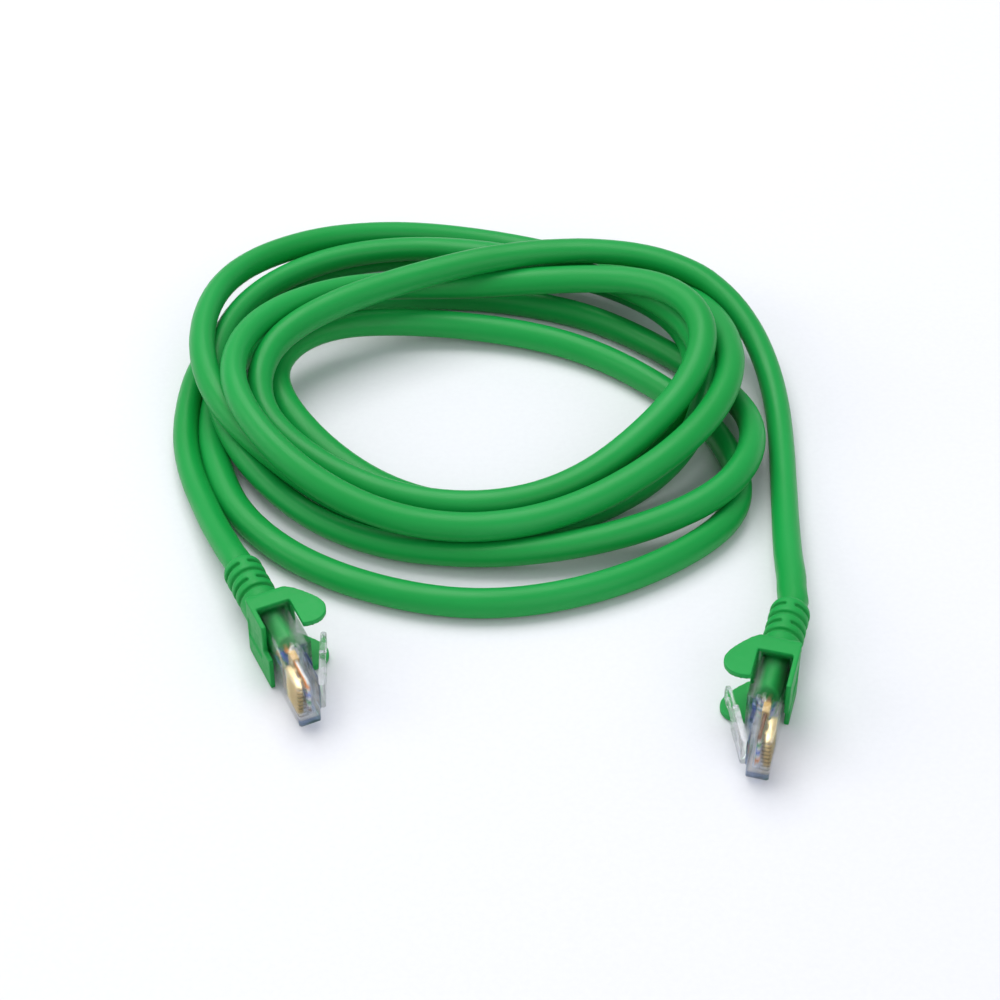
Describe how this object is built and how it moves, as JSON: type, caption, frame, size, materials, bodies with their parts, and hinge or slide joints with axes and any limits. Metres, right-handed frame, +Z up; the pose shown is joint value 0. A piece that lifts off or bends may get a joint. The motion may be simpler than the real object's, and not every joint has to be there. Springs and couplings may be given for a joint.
{
  "type": "ethernet patch cable",
  "caption": "Network patch cable: green round cord in a loose coil, with a booted clear modular plug on each end, gold contacts and a springy latch.",
  "frame": {"origin": "on the surface the cable lies on, under the middle of the box around the two plugs", "axes": "+Z up; +X across from plug a to plug b; +Y from the plugs towards the coil"},
  "size_m": [0.1323, 0.1641, 0.0224],
  "materials": {
    "green_pvc": "satin",
    "green_boot": "satin",
    "clear_polycarbonate": "gloss",
    "gold_contact": "polished",
    "wire_white": "satin",
    "wire_orange": "satin",
    "wire_green": "satin",
    "wire_blue": "satin",
    "wire_brown": "satin"
  },
  "bodies": {
    "root": {"cord_coil": "green_pvc", "cord_tail_a": "green_pvc", "cord_tail_b": "green_pvc", "plug_a_boot": "green_boot", "plug_a_contact_1": "gold_contact", "plug_a_contact_2": "gold_contact", "plug_a_contact_3": "gold_contact", "plug_a_contact_4": "gold_contact", "plug_a_contact_5": "gold_contact", "plug_a_contact_6": "gold_contact", "plug_a_contact_7": "gold_contact", "plug_a_contact_8": "gold_contact", "plug_a_housing": "clear_polycarbonate", "plug_a_load_bar": "clear_polycarbonate", "plug_a_wire_1": "wire_white", "plug_a_wire_2": "wire_orange", "plug_a_wire_3": "wire_white", "plug_a_wire_4": "wire_blue", "plug_a_wire_5": "wire_white", "plug_a_wire_6": "wire_green", "plug_a_wire_7": "wire_white", "plug_a_wire_8": "wire_brown", "plug_b_boot": "green_boot", "plug_b_contact_1": "gold_contact", "plug_b_contact_2": "gold_contact", "plug_b_contact_3": "gold_contact", "plug_b_contact_4": "gold_contact", "plug_b_contact_5": "gold_contact", "plug_b_contact_6": "gold_contact", "plug_b_contact_7": "gold_contact", "plug_b_contact_8": "gold_contact", "plug_b_housing": "clear_polycarbonate", "plug_b_load_bar": "clear_polycarbonate", "plug_b_wire_1": "wire_white", "plug_b_wire_2": "wire_orange", "plug_b_wire_3": "wire_white", "plug_b_wire_4": "wire_blue", "plug_b_wire_5": "wire_white", "plug_b_wire_6": "wire_green", "plug_b_wire_7": "wire_white", "plug_b_wire_8": "wire_brown"},
    "latch_a": {"plug_a_latch": "clear_polycarbonate"},
    "latch_b": {"plug_b_latch": "clear_polycarbonate"}
  },
  "joints": [
    {"name": "latch_a_flex", "type": "hinge", "parent": "root", "child": "latch_a", "pos_m": [-0.0363, -0.0097, 0.00684], "axis": [0, 0, 1], "range_deg": [0, 9], "stiffness_Nm_per_rad": 0.18},
    {"name": "latch_b_flex", "type": "hinge", "parent": "root", "child": "latch_b", "pos_m": [0.04214, -0.02378, 0.00684], "axis": [0, 0, -1], "range_deg": [0, 9], "stiffness_Nm_per_rad": 0.18}
  ]
}
